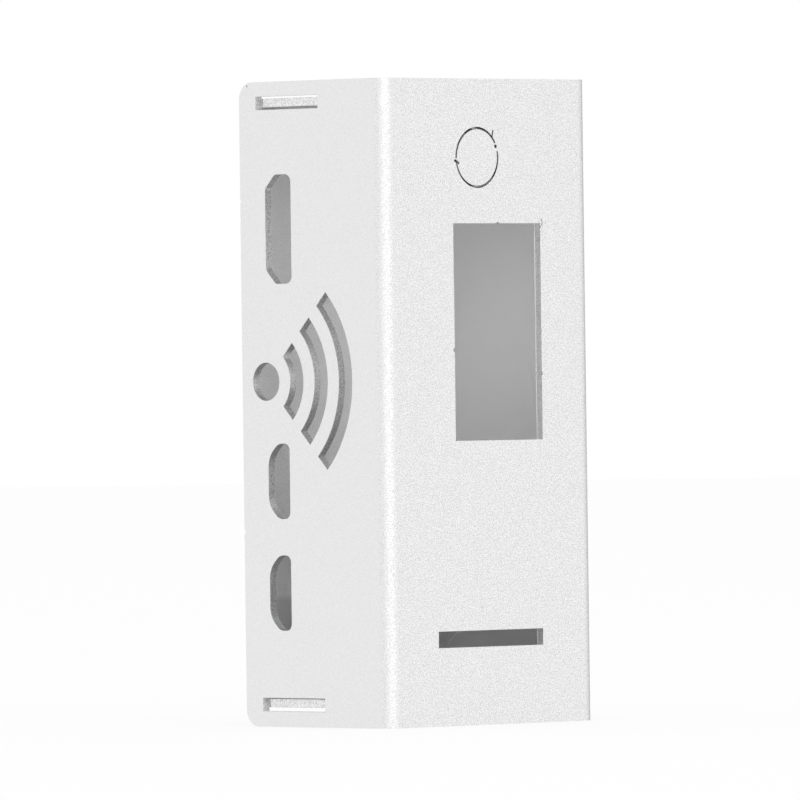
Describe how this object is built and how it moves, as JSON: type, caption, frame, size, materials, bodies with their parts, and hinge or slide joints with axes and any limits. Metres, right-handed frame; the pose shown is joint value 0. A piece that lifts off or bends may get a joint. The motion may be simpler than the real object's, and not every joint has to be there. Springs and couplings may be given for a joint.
{
  "type": "single-board computer case",
  "caption": "Two-piece folded aluminium case for a small computer board, with a display window, side port openings and a signal-shaped vent.",
  "frame": {"origin": "centre of the bounding box on the plane of the lower short end, on which the case stands", "axes": "+Z along the length of the case, up; -Y out of the front face with the window; +Y out of the back plate; -X out of the long wall with the port openings"},
  "size_m": [0.0334, 0.0244, 0.0741],
  "materials": {
    "blasted_aluminium": "fine bead-blasted, clear anodised, satin"
  },
  "bodies": {
    "root": {"cover": "blasted_aluminium", "base": "blasted_aluminium"}
  },
  "joints": []
}
